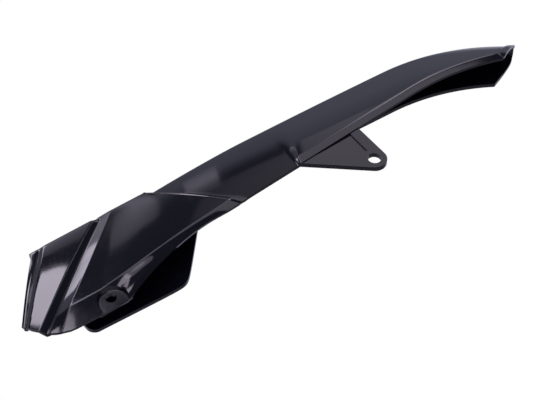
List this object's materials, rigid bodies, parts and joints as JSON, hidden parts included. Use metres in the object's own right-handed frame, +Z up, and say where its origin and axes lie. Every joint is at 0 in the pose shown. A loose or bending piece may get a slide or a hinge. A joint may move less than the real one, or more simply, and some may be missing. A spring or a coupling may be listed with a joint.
{
  "type": "motorcycle chain guard",
  "caption": "Moulded plastic motorcycle chain guard: a long shell over the upper chain run with a raised front section, side flange, bolt seat and rear bracket.",
  "frame": {"origin": "centre of the front bolt hole on the outer face of its seat", "axes": "+X rearward along the guard, +Z up as fitted, outer face toward -Y and wheel side toward +Y"},
  "size_m": [0.4516, 0.033, 0.0971],
  "materials": {
    "gloss_plastic": "gloss, lightly rounded edges"
  },
  "bodies": {
    "root": {"chain_guard": "gloss_plastic"}
  },
  "joints": []
}
